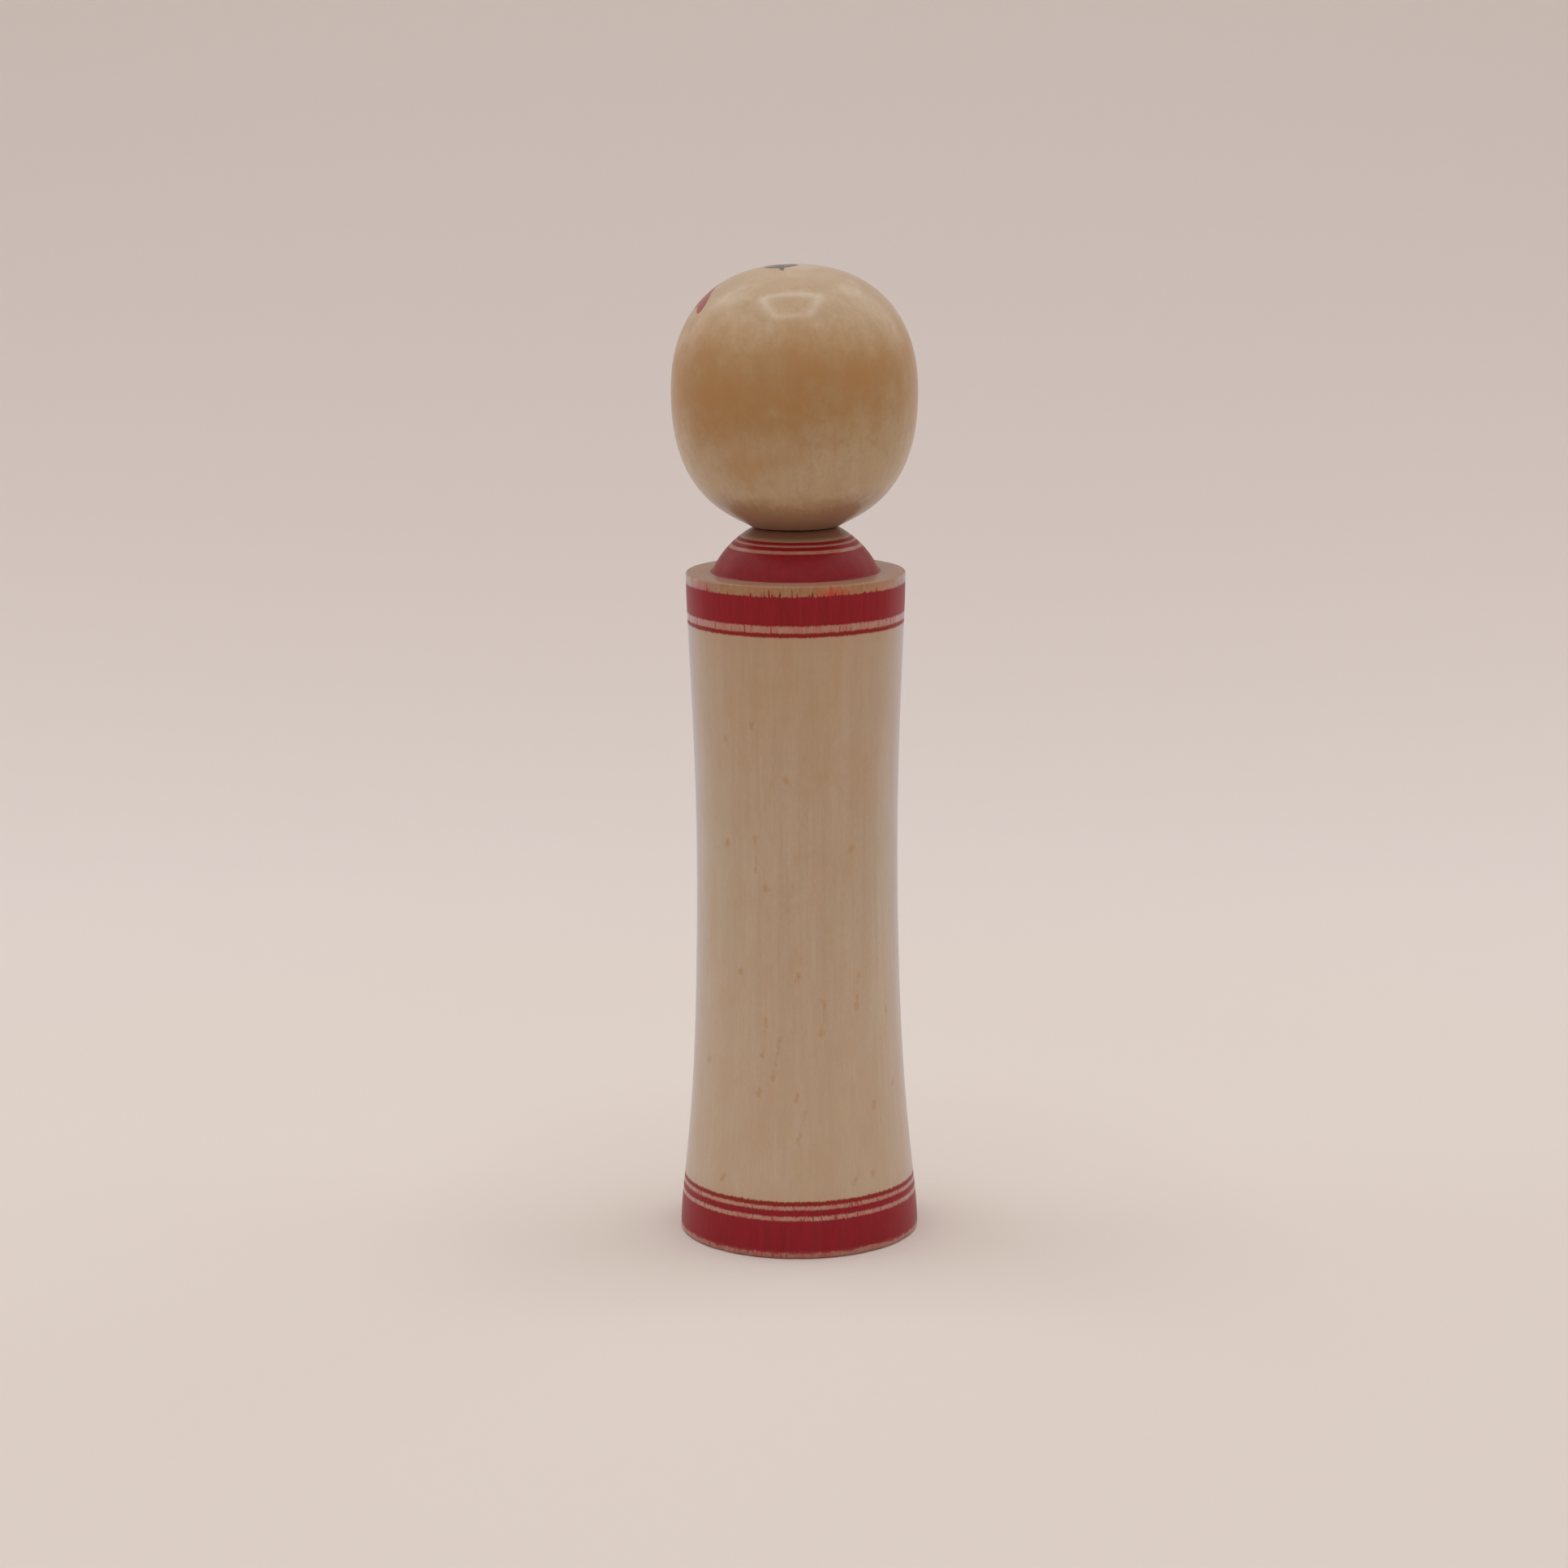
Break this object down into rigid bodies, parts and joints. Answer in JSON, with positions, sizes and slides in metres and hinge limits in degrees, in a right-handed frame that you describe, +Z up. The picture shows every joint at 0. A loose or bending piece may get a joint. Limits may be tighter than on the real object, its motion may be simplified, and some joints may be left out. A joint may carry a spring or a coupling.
{
  "type": "kokeshi doll",
  "caption": "Turned wooden doll with a waisted body, a stepped domed shoulder and a round head that twists in a friction socket.",
  "frame": {"origin": "centre of the flat base, on the surface that the doll stands on", "axes": "+Z up the axis of the body through the middle of the head, -Y out of the painted face, +X to the doll's left"},
  "size_m": [0.0606, 0.0606, 0.2424],
  "materials": {
    "body_wood": "pale close-grained wood, waxed to a satin sheen, with red turned bands at the foot and the shoulder",
    "head_wood": "pale close-grained wood, waxed to a soft gloss and aged amber round the middle, with black and red brushwork"
  },
  "bodies": {
    "body": {"body": "body_wood"},
    "head": {"head": "head_wood"}
  },
  "joints": [
    {"name": "head_turn", "type": "hinge", "parent": "body", "child": "head", "pos_m": [0, 0, 0.1755], "axis": [0, 0, 1], "continuous": true}
  ]
}
